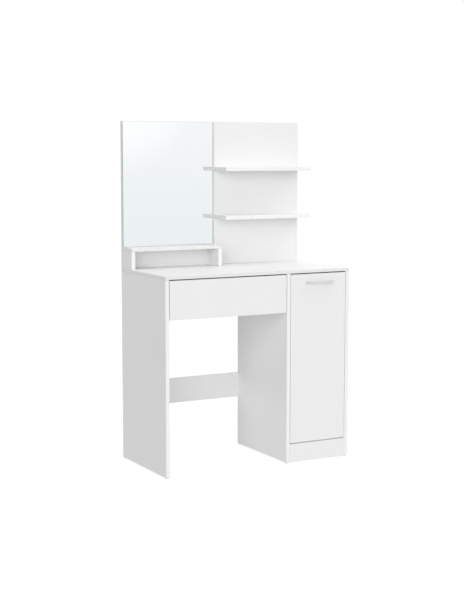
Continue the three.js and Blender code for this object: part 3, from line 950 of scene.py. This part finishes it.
def make_glides():
    radius, height, pin, top = GLIDE.values()
    soft = 0.25 * height
    profile = [
        (0, 0), (radius - 3 * soft, 0), (radius - soft, 0.5 * soft), (radius, 2 * soft),
        (radius - 0.4 * soft, height), (pin, height), (pin, top - 2 * pin), (0, top),
    ]
    for side in ("left", "centre", "right"):
        for end in ("front", "rear"):
            node = f"glide_{side}_{end}"
            point = middle(node)
            point.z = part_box(node)[0].z
            bm = bmesh.new()
            add_turned(bm, profile, Matrix.Translation(point), 48)
            settle(to_object(bm, f"{node}_foot", ["plastic"], SHARP), "carcass", "plastic", node)


def make_shelf_pins():
    radius, collar, collar_length, in_board = SHELF_PIN.values()
    for side in ("left", "right"):
        out = facing("+x" if side == "left" else "-x")
        for end in ("front", "rear"):
            node = f"shelf_pin_{side}_{end}"
            low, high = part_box(node)
            point = (low + high) / 2
            point.x = low.x if side == "left" else high.x
            length, seat, chamfer = high.x - low.x, in_board + FIT, 0.5 * MM
            profile = [
                (0, 0), (radius - chamfer, 0), (radius, chamfer), (radius, seat), (collar, seat),
                (collar, seat + 0.6 * collar_length), (collar - 0.3 * MM, seat + collar_length),
                (radius, seat + collar_length), (radius, length - chamfer),
                (radius - chamfer, length), (0, length),
            ]
            bm = bmesh.new()
            add_turned(bm, profile, along(out, point), 40)
            settle(to_object(bm, f"{node}_turned", ["steel"], SHARP), "carcass", "steel", node)


def make_shelf_screws():
    head, shank, sink, tip = SHELF_SCREW.values()
    top = sunk_head(head, shank, sink)
    for shelf in ("lower", "upper"):
        for end in ("left", "right"):
            node = f"{shelf}_shelf_screw_{end}"
            low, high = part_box(node)
            centre = (low + high) / 2
            bm = bmesh.new()
            add_copies(bm, top, [along((0, 1, 0), (centre.x, high.y, centre.z))])
            neck = high.y - sink
            shaft = [(0, low.y), (shank, low.y + tip), (shank, neck), (0, neck)]
            add_turned(bm, shaft, along((0, 1, 0), (centre.x, 0, centre.z)), 24)
            settle(to_object(bm, f"{node}_sunk", ["steel"], SHARP), "carcass", "steel", node)
    bpy.data.meshes.remove(top)


def make_joining_plates():
    for column in ("left", "mirror_right", "divider", "right"):
        node = f"joining_plate_{column}"
        low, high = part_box(node)
        centre = (low + high) / 2
        out = along((0, 1, 0), (centre.x, low.y, centre.z))
        width = high.x - low.x
        outline = rectangle(width, high.z - low.z, 0.35 * width)
        bm = bmesh.new()
        add_prism(bm, outline, out, JOINING_PLATE["thickness"], 0.3 * MM)
        face = low.y + JOINING_PLATE["thickness"]
        spots = [(centre.x, face, centre.z + rise) for rise in JOINING_PLATE["rises"]]
        add_copies(bm, PAN, [along((0, 1, 0), Vector(spot)) for spot in spots])
        settle(to_object(bm, f"{node}_zinc", ["steel"], SHARP), "carcass", "steel", node)


def dress_frame_nodes():
    """Every CAD node has its finish, although a finer piece stands for most of them."""
    finish = {"board": "face", "coated_steel": "coated"}
    for row in frame["record"]["subparts"]:
        slot = row["material_slot"]
        materials = NODES[row["node"]].data.materials
        materials.clear()
        materials.append(MATERIALS[finish.get(slot, slot)])


# ------------------------------------------------------------------ studio

STUDIO = {
    "ambient": 0.163,
    "backdrop": 1.02,
    "bounce": 0.63,
    "floor": 0.30,
    "floor_glow": 0.82,
    "fade_from": 1.1,
    "fade_to": 3.2,
}
# What shiny surfaces see: pale blue on the floor, paler at the horizon and a soft white glow.
REFLECTED = {
    "floor": (0.883, 0.907, 0.924),
    "horizon": (0.905, 0.930, 0.948),
    "high": (0.975, 0.980, 0.985),
    "glow": (1.06, 1.06, 1.05),
    "glow_towards": (0.400, -0.915, 0.035),
    "glow_spread": 3.2,
    "low_rise": -0.04,
    "high_rise": 0.03,
    "floor_near": 11.0,
    "floor_far": 30.0,
}
LIGHTS = {
    "front_flat": {"azimuth": 5.0, "elevation": 8.0, "spread": 40.0, "power": 0.53},
    "front_left": {"azimuth": -40.0, "elevation": 12.0, "spread": 50.0, "power": 1.59},
    "top_fill": {"azimuth": 0.0, "elevation": 85.0, "spread": 60.0, "power": 1.05},
    "right_top": {"azimuth": 70.0, "elevation": 50.0, "spread": 50.0, "power": 1.19},
    "front_right": {"azimuth": 35.0, "elevation": -6.0, "spread": 40.0, "power": 0.12},
    "rear_fill": {"azimuth": 158.0, "elevation": 10.0, "spread": 40.0, "power": 1.0},
}


def make_world():
    """Even light for the scene, a white backdrop for the camera and a soft glow for the mirror."""
    world = bpy.data.worlds.new("studio")
    bpy.context.scene.world = world
    world.use_nodes = True
    nodes = Nodes(world.node_tree)
    path = nodes.add("ShaderNodeLightPath")
    toward = nodes.add("ShaderNodeTexCoord").outputs["Generated"]
    height = nodes.add("ShaderNodeSeparateXYZ", {"Vector": toward}).outputs["Z"]
    rise = nodes.remap(height, 0.0, 1.0, REFLECTED["low_rise"], REFLECTED["high_rise"])
    sky = nodes.mix(rise, rgba(REFLECTED["horizon"]), rgba(REFLECTED["high"]))
    aim = nodes.add("ShaderNodeVectorMath", operation="DOT_PRODUCT")
    nodes.feed(aim.inputs[0], toward)
    nodes.feed(aim.inputs[1], Vector(REFLECTED["glow_towards"]).normalized())
    edge = math.cos(math.radians(REFLECTED["glow_spread"]))
    blob = nodes.remap(aim.outputs["Value"], 0.0, 1.0, edge, 1.0)
    sky = nodes.mix(blob, sky, rgba(REFLECTED["glow"]))
    white = rgba((1.0, 1.0, 1.0))
    light = nodes.add("ShaderNodeBackground", {"Color": white, "Strength": STUDIO["ambient"]})
    seen = nodes.add("ShaderNodeBackground", {"Color": white, "Strength": STUDIO["backdrop"]})
    mirrored = nodes.add("ShaderNodeBackground", {"Color": sky, "Strength": 1.0})
    shader = light.outputs[0]
    for flag, other in (("Is Glossy Ray", mirrored), ("Is Camera Ray", seen)):
        pick = nodes.add("ShaderNodeMixShader")
        nodes.feed(pick.inputs[0], path.outputs[flag])
        nodes.feed(pick.inputs[1], shader)
        nodes.feed(pick.inputs[2], other.outputs[0])
        shader = pick.outputs[0]
    output = nodes.add("ShaderNodeOutputWorld")
    nodes.feed(output.inputs["Surface"], shader)


def make_floor():
    """A pale floor that fades into the white backdrop away from the table."""
    bm = bmesh.new()
    bmesh.ops.create_grid(bm, x_segments=2, y_segments=2, size=30.0)
    material = bpy.data.materials.new("studio_floor")
    material.use_nodes = True
    nodes = Nodes(material.node_tree)
    where = nodes.add("ShaderNodeTexCoord").outputs["Object"]
    base = (STUDIO["floor"],) * 3
    tone = nodes.mix(nodes.noise(where, 0.6), shade(base, 0.995), shade(base, 1.005))
    diffuse = nodes.add("ShaderNodeBsdfDiffuse", {"Color": tone})
    white = rgba((1.0, 1.0, 1.0))
    glow = nodes.add("ShaderNodeEmission", {"Color": white, "Strength": STUDIO["floor_glow"]})
    near = nodes.add("ShaderNodeAddShader")
    nodes.feed(near.inputs[0], diffuse.outputs[0])
    nodes.feed(near.inputs[1], glow.outputs[0])
    far = nodes.add("ShaderNodeEmission", {"Color": white, "Strength": STUDIO["backdrop"]})
    away = nodes.add("ShaderNodeVectorMath", {0: where}, operation="LENGTH").outputs["Value"]
    fade = nodes.remap(away, 0.0, 1.0, STUDIO["fade_from"], STUDIO["fade_to"])
    blend = nodes.add("ShaderNodeMixShader")
    nodes.feed(blend.inputs[0], fade)
    nodes.feed(blend.inputs[1], near.outputs[0])
    nodes.feed(blend.inputs[2], far.outputs[0])
    nearness = nodes.math("DIVIDE", 1.0, away)
    near_far = (1 / REFLECTED["floor_near"], 1 / REFLECTED["floor_far"])
    distance = nodes.remap(nearness, 0.0, 1.0, *near_far)
    glint = nodes.mix(distance, rgba(REFLECTED["floor"]), rgba(REFLECTED["horizon"]))
    mirrored = nodes.add("ShaderNodeEmission", {"Color": glint, "Strength": 1.0})
    bounce = nodes.add("ShaderNodeEmission", {"Color": white, "Strength": STUDIO["bounce"]})
    path = nodes.add("ShaderNodeLightPath")
    shader = bounce.outputs[0]
    for flag, other in (("Is Glossy Ray", mirrored), ("Is Camera Ray", blend)):
        pick = nodes.add("ShaderNodeMixShader")
        nodes.feed(pick.inputs[0], path.outputs[flag])
        nodes.feed(pick.inputs[1], shader)
        nodes.feed(pick.inputs[2], other.outputs[0])
        shader = pick.outputs[0]
    output = nodes.add("ShaderNodeOutputMaterial")
    nodes.feed(output.inputs["Surface"], shader)
    material.cycles.emission_sampling = "NONE"
    MATERIALS["floor"] = material
    to_object(bm, "studio_floor", ["floor"])


def make_lights():
    """Broad soft lights far away. Azimuth 0 is straight in front, 90 to the right."""
    for name, spec in LIGHTS.items():
        data = bpy.data.lights.new(name, "SUN")
        data.energy = spec["power"]
        data.angle = math.radians(spec["spread"])
        light = bpy.data.objects.new(name, data)
        bpy.context.scene.collection.objects.link(light)
        around = Matrix.Rotation(math.radians(spec["azimuth"]), 4, "Z")
        tilt = Matrix.Rotation(math.radians(90 - spec["elevation"]), 4, "X")
        light.matrix_world = around @ tilt
        light.visible_glossy = False


bpy.context.scene.view_settings.view_transform = "Standard"

make_camera()
dress_frame_nodes()
make_boards()
make_cams()
make_sheet("cabinet_back_panel", "carcass", ["-y"])
make_sheet("drawer_base", "drawer", ["+z", "-z"])
make_mirror()
make_slides()
make_handle()
make_handle_screws()
make_hinges()
make_glides()
make_shelf_pins()
make_shelf_screws()
make_joining_plates()
make_world()
make_floor()
make_lights()
